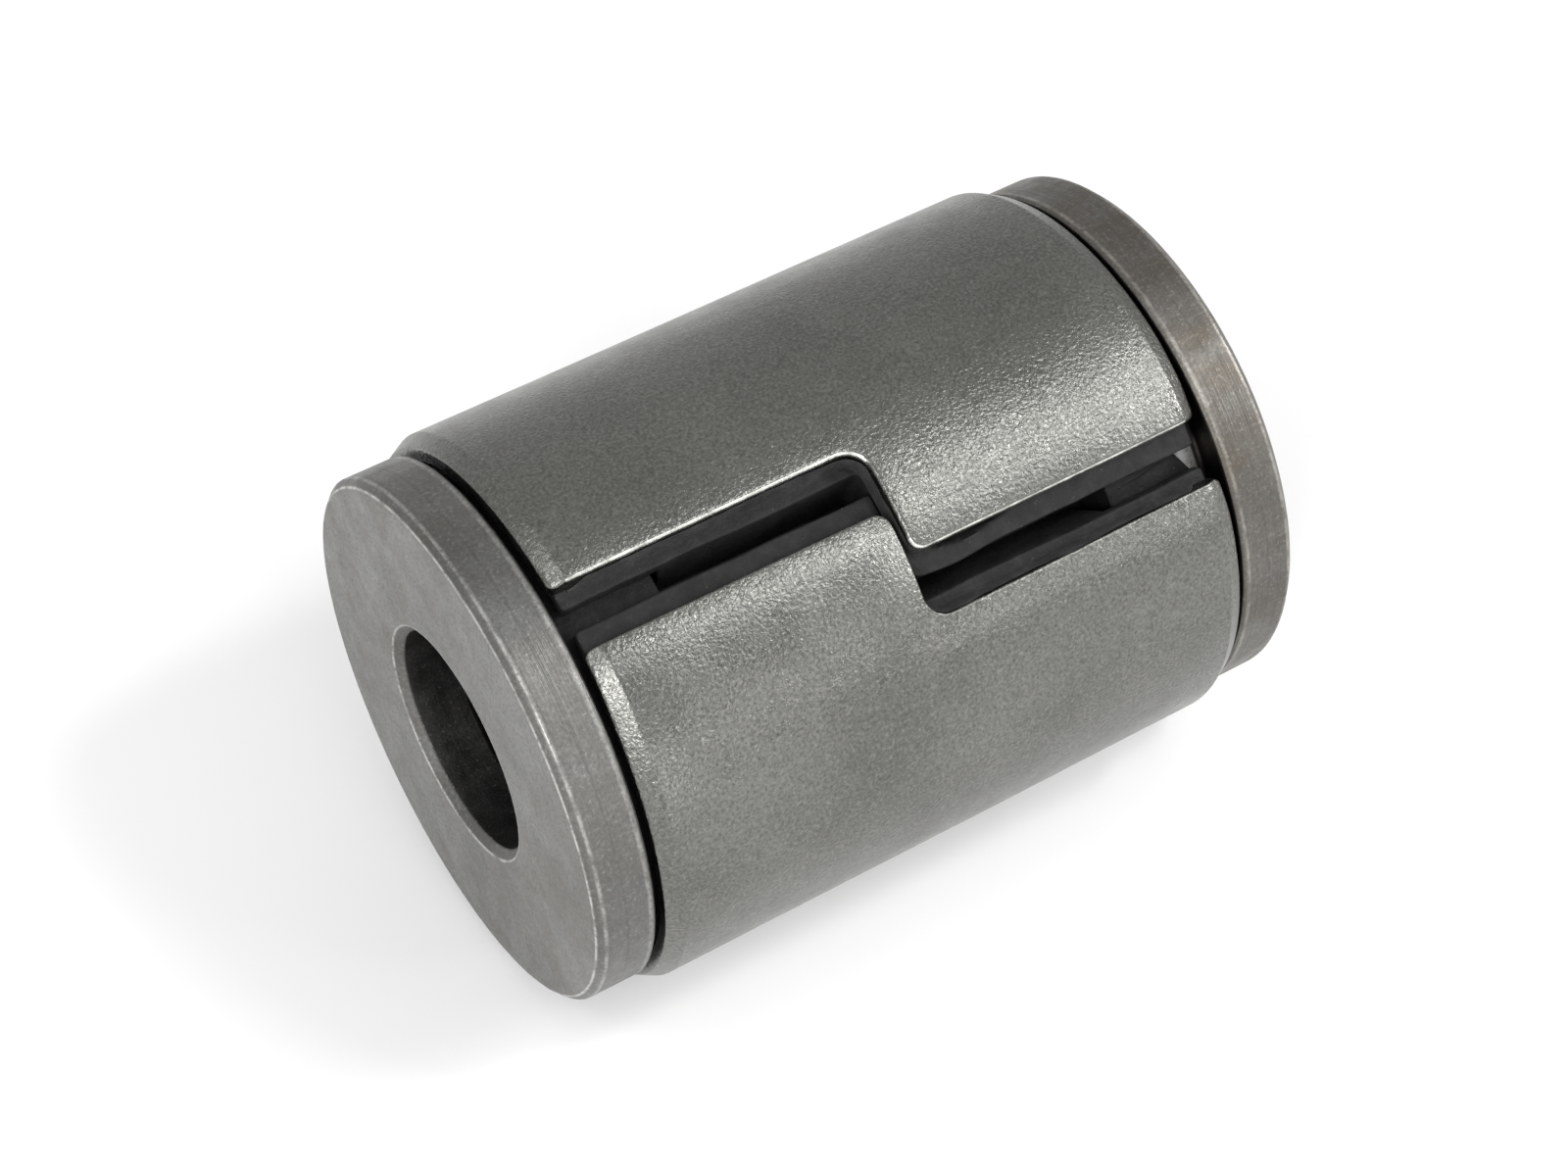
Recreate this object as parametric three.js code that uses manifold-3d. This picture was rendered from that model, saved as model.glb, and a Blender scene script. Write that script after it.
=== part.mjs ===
// Slotted silentbloc bush: a one-piece steel sleeve with a stepped slot, a rubber
// moulding bonded inside it, and a steel core of one tube and two flanged hubs.
// Millimetres, +Z up. The bush lies on its side with its axis along X; the origin is
// on the bore's centre line, midway between the two end faces.
import * as THREE from "three";
import { mergeVertices } from "three/addons/utils/BufferGeometryUtils.js";
import Module from "manifold-3d";

// ---- driving dimensions ------------------------------------------------------------
const LENGTH = 83; // over the two end faces
const BORE_R = 12; // bore for an M22 bolt

const FLANGE_R = 28.6; // the discs that close the ends
const FLANGE_T = 6.4;
const FLANGE_CHAMFER = 0.75;
const BORE_CHAMFER = 0.95;

const SLEEVE_R = 30; // outside of the pressed-in sleeve
const SLEEVE_WALL = 2.5;
const SLEEVE_HALF = 34.2; // half its length: leaves 0.9 mm to each disc
const SLEEVE_ROLL_R = 1.05; // rounded outer edge at each end, radially
const SLEEVE_ROLL_X = 1.65; // and along the axis

const SLOT_ANGLE = 126.3; // degrees from +Y towards +Z, where the slot's middle lies
const SLOT_A = -9.45; // arc positions at SLEEVE_R of the four long slot edges
const SLOT_B = -2.65;
const SLOT_C = 2.5;
const SLOT_D = 9.45;
const STEP_LOW = -0.79; // the two tongues face each other across this narrow gap
const STEP_HIGH = -0.11;
const SLOT_CONCAVE_R = 2.5; // inner corners of the slot
const SLOT_CONVEX_R = 1.55; // tips of the two tongues
const SLOT_MOUTH_R = 1.0; // corners where the slot runs out at the sleeve's ends

const FIT = 0.05; // radial room between faces that are bonded or pressed together
const HUB_R = 24.7; // turned hub behind each disc
const HUB_INNER = 24; // its inner face, from the middle
const HUB_ROOT = 0.5;
const HUB_EDGE = 0.3;
const SKIN_T = 0.6; // rubber skin on the hub
const SKIN_END = 33; // where that skin stops, from the middle
const STOP_GAP = 0.5; // free room over the skin, so that the hubs turn under the sleeve

const TUBE_R = 17.5; // core tube between the hubs
const TUBE_HALF = 31.4; // it stands 7.4 mm deep in each hub's counterbore

const RUBBER_HALF = 33.5; // half length of the rubber moulding
const SLIT_W = 2.35; // the slit moulded in the rubber under each half of the slot
const SLIT_ANGLE_NEAR = -12.25; // degrees from SLOT_ANGLE, for x below the step
const SLIT_ANGLE_FAR = 12.55;
const SLIT_FLOOR_R = 19; // the slit stops short of the core tube
const SLIT_STEP_NEAR = -0.21; // where each slit ends, at the step
const SLIT_STEP_FAR = -0.46;

const SEGMENTS = 72; // facets round every turned face, one of them level underneath

// ---- helpers -------------------------------------------------------------------------
const wasm = await Module();
wasm.setup();
const DEG = Math.PI / 180;

// A closed profile of [radius, axial] pairs, anticlockwise, turned about the local Y axis.
function turned(profile) {
  const points = [...profile, profile[0]].map(([r, y]) => new THREE.Vector2(r, y));
  return new THREE.LatheGeometry(points, SEGMENTS, (180 / SEGMENTS) * DEG);
}

function solid(geometry, flip = false) {
  const g = geometry.clone();
  g.deleteAttribute("normal");
  g.deleteAttribute("uv");
  const merged = mergeVertices(g, 1e-4);
  const triVerts = new Uint32Array(merged.index.array);
  if (flip)
    for (let i = 0; i < triVerts.length; i += 3)
      [triVerts[i + 1], triVerts[i + 2]] = [triVerts[i + 2], triVerts[i + 1]];
  return new wasm.Manifold(
    new wasm.Mesh({
      numProp: 3,
      vertProperties: new Float32Array(merged.attributes.position.array),
      triVerts,
    }),
  );
}

function geometryOf(manifold) {
  const m = manifold.getMesh();
  const g = new THREE.BufferGeometry();
  g.setAttribute("position", new THREE.BufferAttribute(new Float32Array(m.vertProperties), 3));
  g.setIndex(new THREE.BufferAttribute(new Uint32Array(m.triVerts), 1));
  g.computeVertexNormals();
  return g;
}

// The outline's corners as arcs: each entry is [axial, arc, corner radius].
function rounded(corners, steps = 5) {
  const out = [];
  corners.forEach(([x, y, r], i) => {
    if (!r) {
      out.push(new THREE.Vector2(x, y));
      return;
    }
    const here = new THREE.Vector2(x, y);
    const [px, py] = corners[(i + corners.length - 1) % corners.length];
    const [nx, ny] = corners[(i + 1) % corners.length];
    const back = new THREE.Vector2(px, py).sub(here).normalize();
    const on = new THREE.Vector2(nx, ny).sub(here).normalize();
    const centre = here.clone().addScaledVector(back, r).addScaledVector(on, r);
    for (let k = 0; k <= steps; k++) {
      const a = (k / steps) * (Math.PI / 2);
      out.push(
        centre
          .clone()
          .addScaledVector(on, -r * Math.cos(a))
          .addScaledVector(back, -r * Math.sin(a)),
      );
    }
  });
  return out;
}

// A flat outline in (axial, arc at SLEEVE_R), wrapped round the axis between two radii.
function wrapped(outline, r0, r1) {
  const g = new THREE.ExtrudeGeometry(new THREE.Shape(outline), {
    depth: r1 - r0,
    bevelEnabled: false,
    steps: 1,
  });
  const p = g.attributes.position;
  for (let i = 0; i < p.count; i++) {
    const a = SLOT_ANGLE * DEG + p.getY(i) / SLEEVE_R;
    const r = r0 + p.getZ(i);
    p.setXYZ(i, -r * Math.cos(a), p.getX(i), r * Math.sin(a));
  }
  return solid(g, true);
}

// A parallel-sided slit, cut inwards at an angle from the slot's middle.
function slit(angle, y0, y1) {
  const a = (SLOT_ANGLE + angle) * DEG;
  const r0 = SLIT_FLOOR_R,
    r1 = SLEEVE_R;
  const g = new THREE.BoxGeometry(r1 - r0, y1 - y0, SLIT_W);
  g.translate((r0 + r1) / 2, (y0 + y1) / 2, 0);
  // local +X of the box to the radial direction (-cos a, 0, sin a)
  g.rotateY(Math.PI + a);
  return solid(g);
}

function mesh(name, geometry, color, roughness, metalness) {
  const m = new THREE.Mesh(
    geometry,
    new THREE.MeshStandardMaterial({ color, roughness, metalness }),
  );
  m.name = name;
  return m;
}

// ---- steel sleeve with its stepped slot ------------------------------------------------
const sleeveIn = SLEEVE_R - SLEEVE_WALL;
const roll = (s) => [
  [SLEEVE_R - SLEEVE_ROLL_R, s * SLEEVE_HALF],
  [SLEEVE_R - SLEEVE_ROLL_R * 0.36, s * (SLEEVE_HALF - SLEEVE_ROLL_X * 0.36)],
  [SLEEVE_R, s * (SLEEVE_HALF - SLEEVE_ROLL_X)],
];
const sleeveProfile = [
  [sleeveIn, -SLEEVE_HALF],
  ...roll(-1),
  ...roll(1).reverse(),
  [sleeveIn, SLEEVE_HALF],
];
const OUT = SLEEVE_HALF + 5;
const m = SLOT_MOUTH_R;
// quarter arc that opens the slot's mouth: from the end face to the long edge
const mouth = (end, edge, side) => {
  const pts = [];
  for (let k = 0; k <= 4; k++) {
    const a = (k / 4) * (Math.PI / 2);
    pts.push(
      new THREE.Vector2(
        end * (SLEEVE_HALF - m + m * Math.cos(a)),
        edge + side * (m - m * Math.sin(a)),
      ),
    );
  }
  return pts;
};
const slotOutline = [
  new THREE.Vector2(-OUT, SLOT_A - m),
  ...mouth(-1, SLOT_A, -1),
  ...rounded([
    [-20, SLOT_A, 0],
    [STEP_HIGH, SLOT_A, SLOT_CONCAVE_R],
    [STEP_HIGH, SLOT_C, SLOT_CONVEX_R],
    [20, SLOT_C, 0],
  ]),
  ...mouth(1, SLOT_C, -1).reverse(),
  new THREE.Vector2(OUT, SLOT_C - m),
  new THREE.Vector2(OUT, SLOT_D + m),
  ...mouth(1, SLOT_D, 1),
  ...rounded([
    [20, SLOT_D, 0],
    [STEP_LOW, SLOT_D, SLOT_CONCAVE_R],
    [STEP_LOW, SLOT_B, SLOT_CONVEX_R],
    [-20, SLOT_B, 0],
  ]),
  ...mouth(-1, SLOT_B, 1).reverse(),
  new THREE.Vector2(-OUT, SLOT_B + m),
];
const sleeve = solid(turned(sleeveProfile)).subtract(
  wrapped(slotOutline, sleeveIn - 2, SLEEVE_R + 2),
);

// ---- rubber moulding with its slits ----------------------------------------------------
const skinOut = HUB_R + FIT + SKIN_T;
const rubberIn = skinOut + STOP_GAP;
const rubberOut = sleeveIn - FIT;
const rubberStep = HUB_INNER - FIT - 0.5 - FIT; // inner face of the skin, less a fit gap
const rubberProfile = [
  [rubberIn, -RUBBER_HALF],
  [rubberOut, -RUBBER_HALF],
  [rubberOut, RUBBER_HALF],
  [rubberIn, RUBBER_HALF],
  [rubberIn, rubberStep],
  [TUBE_R + FIT, rubberStep],
  [TUBE_R + FIT, -rubberStep],
  [rubberIn, -rubberStep],
];
const rubber = solid(turned(rubberProfile))
  .subtract(slit(SLIT_ANGLE_NEAR, -SLEEVE_HALF - 2, SLIT_STEP_NEAR))
  .subtract(slit(SLIT_ANGLE_FAR, SLIT_STEP_FAR, SLEEVE_HALF + 2));

// ---- rubber skin on a hub --------------------------------------------------------------
const skinProfile = [
  [HUB_R + FIT, -SKIN_END],
  [skinOut, -SKIN_END],
  [skinOut, -(rubberStep + FIT)],
  [TUBE_R + FIT, -(rubberStep + FIT)],
  [TUBE_R + FIT, -(HUB_INNER - FIT)],
  [HUB_R + FIT, -(HUB_INNER - FIT)],
];

// ---- flanged hub: disc, hub, counterbore for the tube, bolt bore -------------------------
const face = LENGTH / 2;
const back = face - FLANGE_T;
const seat = TUBE_HALF + 0.1;
const hubProfile = [
  [BORE_R + BORE_CHAMFER, -face],
  [FLANGE_R - FLANGE_CHAMFER, -face],
  [FLANGE_R, -(face - FLANGE_CHAMFER)],
  [FLANGE_R, -(back + FLANGE_CHAMFER)],
  [FLANGE_R - FLANGE_CHAMFER, -back],
  [HUB_R + HUB_ROOT, -back],
  [HUB_R, -(back - HUB_ROOT)],
  [HUB_R, -(HUB_INNER + HUB_EDGE)],
  [HUB_R - HUB_EDGE, -HUB_INNER],
  [TUBE_R + FIT, -HUB_INNER],
  [TUBE_R + FIT, -seat],
  [BORE_R, -seat],
  [BORE_R, -(face - BORE_CHAMFER)],
];

// ---- core tube ---------------------------------------------------------------------------
const tubeProfile = [
  [BORE_R, -TUBE_HALF],
  [TUBE_R - 0.5, -TUBE_HALF],
  [TUBE_R, -(TUBE_HALF - 0.5)],
  [TUBE_R, TUBE_HALF - 0.5],
  [TUBE_R - 0.5, TUBE_HALF],
  [BORE_R, TUBE_HALF],
];

// ---- assembly ------------------------------------------------------------------------------
const STEEL = 0x6f6f6b,
  DISC = 0x77756f,
  RUBBER = 0x2b2b2b;

const bush = new THREE.Group();
bush.name = "bush";
bush.rotation.z = -Math.PI / 2; // the turned pieces' local Y becomes the part's X axis

bush.add(mesh("outer_sleeve", geometryOf(sleeve), STEEL, 0.5, 0.85));
bush.add(mesh("rubber_body", geometryOf(rubber), RUBBER, 0.85, 0));
bush.add(mesh("core_tube", turned(tubeProfile), DISC, 0.5, 0.85));

const nearEnd = new THREE.Group();
nearEnd.add(mesh("near_flanged_hub", turned(hubProfile), DISC, 0.5, 0.85));
nearEnd.add(mesh("near_hub_rubber", turned(skinProfile), RUBBER, 0.85, 0));
bush.add(nearEnd);

const farEnd = new THREE.Group();
farEnd.rotation.x = Math.PI; // the same two pieces, turned end for end
farEnd.add(mesh("far_flanged_hub", turned(hubProfile), DISC, 0.5, 0.85));
farEnd.add(mesh("far_hub_rubber", turned(skinProfile), RUBBER, 0.85, 0));
bush.add(farEnd);

const part = new THREE.Group();
part.name = "slotted_silentbloc_bush";
part.add(bush);

export default part;
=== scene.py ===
# Looks for a slotted rubber-to-metal bush. Every length below is in millimetres until put().
import math

import bmesh
import bpy
import numpy as np
from mathutils import Matrix, Vector, geometry


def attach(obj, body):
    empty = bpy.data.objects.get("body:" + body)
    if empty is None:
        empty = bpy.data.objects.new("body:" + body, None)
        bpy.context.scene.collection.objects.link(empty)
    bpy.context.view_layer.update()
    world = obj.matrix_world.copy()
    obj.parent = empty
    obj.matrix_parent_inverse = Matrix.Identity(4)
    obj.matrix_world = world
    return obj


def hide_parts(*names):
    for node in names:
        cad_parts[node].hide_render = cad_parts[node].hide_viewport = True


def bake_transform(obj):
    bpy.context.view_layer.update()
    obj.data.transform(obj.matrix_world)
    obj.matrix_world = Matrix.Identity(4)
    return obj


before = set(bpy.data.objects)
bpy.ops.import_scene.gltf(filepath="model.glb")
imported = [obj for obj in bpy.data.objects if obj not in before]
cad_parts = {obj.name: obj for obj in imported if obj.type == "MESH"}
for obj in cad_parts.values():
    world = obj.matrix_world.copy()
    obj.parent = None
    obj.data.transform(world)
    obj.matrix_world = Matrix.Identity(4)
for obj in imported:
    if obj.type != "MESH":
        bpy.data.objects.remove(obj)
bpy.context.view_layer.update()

# ---- dimensions, as the CAD has them --------------------------------------------------
R = 30.0
SLEEVE_IN = 27.5
HALF = 34.2
PHI0 = math.radians(126.3)
SLOT_A, SLOT_B, SLOT_C, SLOT_D = -9.45, -2.65, 2.5, 9.45
STEP_LOW, STEP_HIGH = -0.79, -0.11
WRAP = 2 * math.pi * R
BORE = 12.0
FLANGE_R = 28.6
FACE, BACK = 41.5, 35.1
HUB_R, HUB_IN = 24.7, 24.0
TUBE_R = 17.5
rng = np.random.default_rng(11)


# ---- camera ---------------------------------------------------------------------------
def camera():
    cam = bpy.data.objects.new("camera", bpy.data.cameras.new("camera"))
    bpy.context.scene.collection.objects.link(cam)
    fwd = Vector((0.34921, 0.55415, -0.75563)).normalized()
    right = Vector((0.84602, -0.53315, 0.0)).normalized()
    up = right.cross(fwd).normalized()
    m = Matrix.Identity(4)
    for i in range(3):
        m[i][0], m[i][1], m[i][2] = right[i], up[i], -fwd[i]
    m[0][3], m[1][3], m[2][3] = -0.13292, -0.20677, 0.28183
    cam.matrix_world = m
    cam.data.sensor_width = 36.0
    cam.data.lens = 82.68
    cam.data.clip_start = 0.01
    cam.data.clip_end = 10.0
    cam.data.dof.use_dof = False
    bpy.context.scene.camera = cam


camera()


# ---- mesh helpers ---------------------------------------------------------------------
def put(name, verts_mm, faces, smooth=True, angle=None):
    mesh = bpy.data.meshes.new(name)
    mesh.from_pydata((np.asarray(verts_mm) / 1000.0).tolist(), [], faces)
    mesh.validate()
    if smooth:
        mesh.shade_smooth()
    if angle is not None:
        mesh.set_sharp_from_angle(angle=math.radians(angle))
    mesh.update()
    o = bpy.data.objects.new(name, mesh)
    bpy.context.scene.collection.objects.link(o)
    return o


def polar(x, r, phi):
    return np.stack([x, r * np.cos(phi), r * np.sin(phi)], -1)


def fillet(points, default=0.0, steps=6):
    """Rounds the corners of a closed (r, x) profile: points are (r, x, radius)."""
    out = []
    n = len(points)
    for i, p in enumerate(points):
        rad = p[2] if len(p) > 2 else default
        here = np.array(p[:2], float)
        if rad <= 0:
            out.append(here)
            continue
        a = np.array(points[i - 1][:2], float) - here
        b = np.array(points[(i + 1) % n][:2], float) - here
        a /= np.linalg.norm(a)
        b /= np.linalg.norm(b)
        ang = math.acos(np.clip(a @ b, -1, 1))
        t = rad / math.tan(ang / 2)
        centre = here + (a + b) / np.linalg.norm(a + b) * rad / math.sin(ang / 2)
        p0, p1 = here + a * t - centre, here + b * t - centre
        sweep = math.pi - ang
        for k in range(steps + 1):
            f = k / steps
            out.append(
                centre
                + (p0 * math.sin((1 - f) * sweep) + p1 * math.sin(f * sweep))
                / math.sin(sweep)
            )
    return np.array(out)


def lathe(name, profile, segments=256, shape=None, angle=None):
    """A closed ring from a closed profile of (r, x), anticlockwise in (r, x)."""
    prof = np.asarray(profile, float)
    n = len(prof)
    phi = np.arange(segments) * 2 * math.pi / segments
    r = np.repeat(prof[None, :, 0], segments, 0)
    x = np.repeat(prof[None, :, 1], segments, 0)
    p = np.repeat(phi[:, None], n, 1)
    if shape is not None:
        r, x = shape(r, x, p)
    v = polar(x, r, p).reshape(-1, 3)
    faces = []
    for i in range(segments):
        j = (i + 1) % segments
        for k in range(n):
            m = (k + 1) % n
            faces.append((i * n + k, j * n + k, j * n + m, i * n + m))
    o = put(name, v, faces, angle=angle)
    fix_normals(o)
    return o


def fix_normals(o):
    bm = bmesh.new()
    bm.from_mesh(o.data)
    bmesh.ops.recalc_face_normals(bm, faces=bm.faces)
    if bm.calc_volume(signed=True) < 0:
        bmesh.ops.reverse_faces(bm, faces=bm.faces)
    bm.to_mesh(o.data)
    bm.free()
    o.data.update()


# ---- the sleeve: rolled sheet with a stepped slot -----------------------------------------
# Outline of the unrolled sheet in (x, arc), anticlockwise: (x, arc, corner radius, convex?)
SHEET = [
    (STEP_LOW, SLOT_B, 1.55, True),
    (STEP_LOW, SLOT_D, 2.5, False),
    (HALF, SLOT_D - 0.3, 1.0, True),
    (HALF, WRAP + SLOT_C, 1.0, True),
    (STEP_HIGH, WRAP + SLOT_C, 1.55, True),
    (STEP_HIGH, WRAP + SLOT_A, 2.5, False),
    (-HALF, WRAP + SLOT_A, 1.0, True),
    (-HALF, SLOT_B, 1.0, True),
]


def ring(inset, arc_steps=10, spacing=0.8, sheet=SHEET):
    """The sheet's outline moved inwards, with the same number of points whatever the inset."""
    n = len(sheet)
    pts = []
    P = [np.array(c[:2], float) for c in sheet]
    arcs = []
    for i, (x, y, rad, convex) in enumerate(sheet):
        a = P[i - 1] - P[i]
        b = P[(i + 1) % n] - P[i]
        a /= np.linalg.norm(a)
        b /= np.linalg.norm(b)
        ang = math.acos(np.clip(a @ b, -1, 1))
        centre = P[i] + (a + b) / np.linalg.norm(a + b) * rad / math.sin(ang / 2)
        p0 = P[i] + a * rad / math.tan(ang / 2) - centre
        p1 = P[i] + b * rad / math.tan(ang / 2) - centre
        rr = (rad - inset) if convex else (rad + inset)
        sweep = math.pi - ang
        arc = []
        for k in range(arc_steps + 1):
            f = k / arc_steps
            d = (p0 * math.sin((1 - f) * sweep) + p1 * math.sin(f * sweep)) / math.sin(sweep)
            arc.append(centre + d / np.linalg.norm(d) * rr)
        arcs.append(arc)
    for i in range(n):
        pts += arcs[i]
        a, b = arcs[i][-1], arcs[(i + 1) % n][0]
        length = np.linalg.norm(P[(i + 1) % n] - P[i])
        m = max(2, int(round(length / spacing)))
        for k in range(1, m):
            pts.append(a + (b - a) * k / m)
    return np.array(pts)


def inside(points, poly):
    x, y = points[:, 0], points[:, 1]
    hit = np.zeros(len(points), bool)
    for i in range(len(poly)):
        x0, y0 = poly[i]
        x1, y1 = poly[(i + 1) % len(poly)]
        if y0 == y1:
            continue
        c = (y0 > y) != (y1 > y)
        hit ^= c & (x < (x1 - x0) * (y - y0) / (y1 - y0) + x0)
    return hit


def slot_distance(pts):
    """Distance in the sheet from the slot's edges, not the end faces."""
    d = np.full(len(pts), 1e9)
    chains = (
        [(-60, SLOT_B), (STEP_LOW, SLOT_B), (STEP_LOW, SLOT_D), (60, SLOT_D)],
        [(60, WRAP + SLOT_C), (STEP_HIGH, WRAP + SLOT_C), (STEP_HIGH, WRAP + SLOT_A), (-60, WRAP + SLOT_A)],
    )
    for chain in chains:
        for (x0, y0), (x1, y1) in zip(chain, chain[1:]):
            a, b = np.array([x0, y0], float), np.array([x1, y1], float)
            t = np.clip(((pts - a) @ (b - a)) / ((b - a) @ (b - a)), 0, 1)
            d = np.minimum(d, np.linalg.norm(pts - (a + t[:, None] * (b - a)), axis=1))
    return d


def bump(x, c, w):
    """1 at c, falling smoothly to 0 at a distance w."""
    t = np.clip(1 - np.abs(x - c) / w, 0, 1)
    return t * t * (3 - 2 * t)


def ease(x, a, b):
    t = np.clip((x - a) / (b - a), 0, 1)
    return t * t * (3 - 2 * t)


def sheet_shape(x, v):
    """How far the rolled sheet stands in from a true cylinder, in mm, at (x, arc)."""
    v = np.where(v > WRAP / 2 + 5, v - WRAP, v)  # arc from the slot's middle, about -94 to 99
    low = np.zeros_like(x)
    # each long edge of the slot is drawn in a little, as a rolled sheet's edges are
    is_low = (v > SLOT_D - 1) | ((v > SLOT_B - 1) & (x < STEP_LOW + 0.34))
    is_up = ~is_low & (v > -40)
    is_low &= v < 40
    tongue = np.where(x < STEP_LOW + 0.34, v - SLOT_B, 99.0)
    inner = np.hypot(np.maximum(STEP_LOW - x, 0), np.maximum(v - SLOT_D, 0))
    low += is_low * (0.34 * np.clip(1 - tongue / 3.6, 0, 1.2) ** 2 + 0.44 * np.clip(1 - inner / 4.8, 0, 1) ** 2)
    tongue = np.where(x > STEP_HIGH - 0.34, SLOT_C - v, 99.0)
    inner = np.hypot(np.maximum(x - STEP_HIGH, 0), np.maximum(SLOT_A - v, 0))
    low += is_up * (0.10 * np.clip(1 - tongue / 2.6, 0, 1.2) ** 2 + 0.10 * np.clip(1 - inner / 3.0, 0, 1) ** 2)
    # the far end of the upper edge is pulled in over a wide corner, the near end of the lower one too
    corner = np.clip((x - 23.0) / 10.5, 0, 1.2) ** 2 * np.clip(1 - (SLOT_C - v) / 11.0, 0, 1.2) ** 1.5 * (v < SLOT_C + 1) * (v > -20)
    low += 0.62 * corner
    along = ease(v, 0.0, 6.0) * (1 - ease(v, 16.0, 34.0))
    low += 0.62 * np.clip((-x - 25.5) / 8.0, 0, 1.2) ** 2 * (0.35 + 0.65 * along) * (v > SLOT_B - 1) * (1 - ease(v, 25.0, 40.0))
    # it isn't perfectly round or straight either
    for k, (px, pv, ax, av) in enumerate(((17.0, 9.0, 0.014, 0.4), (26.0, 13.0, 0.022, 2.0), (11.0, 21.0, 0.008, 4.1))):
        low += ax * (1 + np.sin(x / px * 2 + av) * np.cos(v / pv * 2 + 1.3 * k))
    return low


def thick_sheet(name, outline, insets, xs, vs, r_out_of, r_in_of, wall_steps, clear=0.4, spacing=0.8, angle=50):
    """A closed body wrapped round the axis: an unrolled outline with edge rings, an outer and an inner
    surface given as radii of (x, arc, distance in from the edge), and a wall between them."""
    rings = [ring(d, spacing=spacing, sheet=outline) for d in insets]
    n = len(rings[0])
    last = rings[-1]
    gx, gv = np.meshgrid(xs, vs, indexing="ij")
    grid = np.stack([gx.ravel(), gv.ravel()], -1)
    grid = grid[inside(grid, ring(insets[-1] + 0.08, sheet=outline))]
    keep = np.ones(len(grid), bool)
    near_edge = ~inside(grid, ring(insets[-1] + clear, sheet=outline))
    for i in np.nonzero(near_edge)[0]:
        if np.min(np.sum((last - grid[i]) ** 2, 1)) < 0.18**2:
            keep[i] = False
    grid = grid[keep]
    pts2 = np.vstack([last, grid])
    jig = np.zeros_like(pts2)
    jig[n:] = np.random.default_rng(5).uniform(-1e-4, 1e-4, (len(grid), 2))
    res = geometry.delaunay_2d_cdt(
        [Vector(p) for p in (pts2 + jig)], [(i, (i + 1) % n) for i in range(n)], [], 1, 1e-7, True
    )
    assert len(res[0]) == len(pts2), (name, len(res[0]), len(pts2))
    index = [o[0] for o in res[3]]
    tri = np.array([[index[i] for i in f] for f in res[2]])
    tri = tri[inside(pts2[tri].mean(1), last)]

    allp = np.vstack(rings[:-1] + [pts2])
    depth = np.concatenate([np.full(n, d) for d in insets] + [np.full(len(grid), 9.0)])
    base = n * (len(rings) - 1)
    x, v = allp[:, 0], allp[:, 1]
    r_out = r_out_of(x, v, depth)
    r_in = r_in_of(x, v, depth)
    N = len(allp)
    phi = PHI0 + v / R
    verts = [polar(x, r_out, phi), polar(x, r_in, phi)]
    faces = []
    for k in range(len(rings) - 1):
        for i in range(n):
            j = (i + 1) % n
            a, b, c, d = k * n + i, k * n + j, (k + 1) * n + j, (k + 1) * n + i
            faces.append((a, b, c, d))
            faces.append((N + a, N + d, N + c, N + b))
    for f in tri:
        faces.append(tuple(base + int(i) for i in f))
        faces.append(tuple(N + base + int(i) for i in reversed(f)))
    prev = np.arange(n)
    count = 2 * N
    for s in np.arange(1, wall_steps + 1) / wall_steps:
        if s < 1:
            verts.append(polar(x[:n], r_out[:n] * (1 - s) + r_in[:n] * s, phi[:n]))
            nxt = np.arange(count, count + n)
            count += n
        else:
            nxt = np.arange(N, N + n)
        for i in range(n):
            j = (i + 1) % n
            faces.append((int(prev[i]), int(nxt[i]), int(nxt[j]), int(prev[j])))
        prev = nxt
    o = put(name, np.vstack(verts), faces, angle=angle)
    fix_normals(o)
    return o


def slot_path(offset, spacing=0.6):
    """The slot's edge on one tongue after the other, as (x, arc) points moved out into the slot."""
    pts = ring(-offset, spacing=spacing)
    pts = np.array([[q[0], q[1] - WRAP if q[1] > WRAP / 2 else q[1]] for q in pts])
    ids = [i for i in range(len(pts)) if abs(pts[i][1]) < 14 and abs(pts[i][0]) < HALF - 1.6]
    runs, run = [], [ids[0]]
    for a, b in zip(ids, ids[1:]):
        if b == a + 1:
            run.append(b)
        else:
            runs.append(run)
            run = [b]
    runs.append(run)
    if len(runs) > 2 and runs[0][0] == 0 and runs[-1][-1] == len(pts) - 1:
        runs = [runs[-1] + runs[0]] + runs[1:-1]
    return pts, runs


def climb(name, pts_of, run, seed):
    """Rubber that has crept up the cut edge of the sleeve: a small fillet along one edge of the slot."""
    section = [(0.015, 0.0), (0.04, 2.0), (0.10, 1.75), (0.17, 1.1), (0.29, 0.0)]
    n = len(run)
    rr = np.random.default_rng(seed)
    wave = 1 + 0.08 * np.convolve(rr.normal(size=n + 8), np.ones(9) / 3, "valid")
    end = np.minimum(np.arange(n), np.arange(n)[::-1])
    wave = wave * np.clip(end / 3.0, 0.25, 1)
    verts = []
    for off, h in section:
        q = pts_of[off][run]
        verts.append(polar(q[:, 0], 27.1 + h * wave * 0.98, PHI0 + q[:, 1] / R))
    v = np.stack(verts, 1).reshape(-1, 3)
    m = len(section)
    faces = []
    for i in range(n - 1):
        for k in range(m):
            j = (k + 1) % m
            faces.append((i * m + k, i * m + j, i * m + m + j, i * m + m + k))
    faces.append(tuple(range(m)))
    faces.append(tuple(reversed(range((n - 1) * m, n * m))))
    o = put(name, v, faces, angle=60)
    fix_normals(o)
    return o


def round_off(d, radius):
    """How far a rounded edge has dropped at a distance d in from it."""
    t = np.clip((radius - d) / radius, 0, 1)
    return radius * (1 - np.sqrt(np.clip(1 - t * t, 0, 1)))


def soft_step(t, k):
    """0 below 0 and t above it, with the corner rounded over k."""
    return 0.5 * (t + np.sqrt(t * t + k * k)) - 0.5 * k


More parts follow.
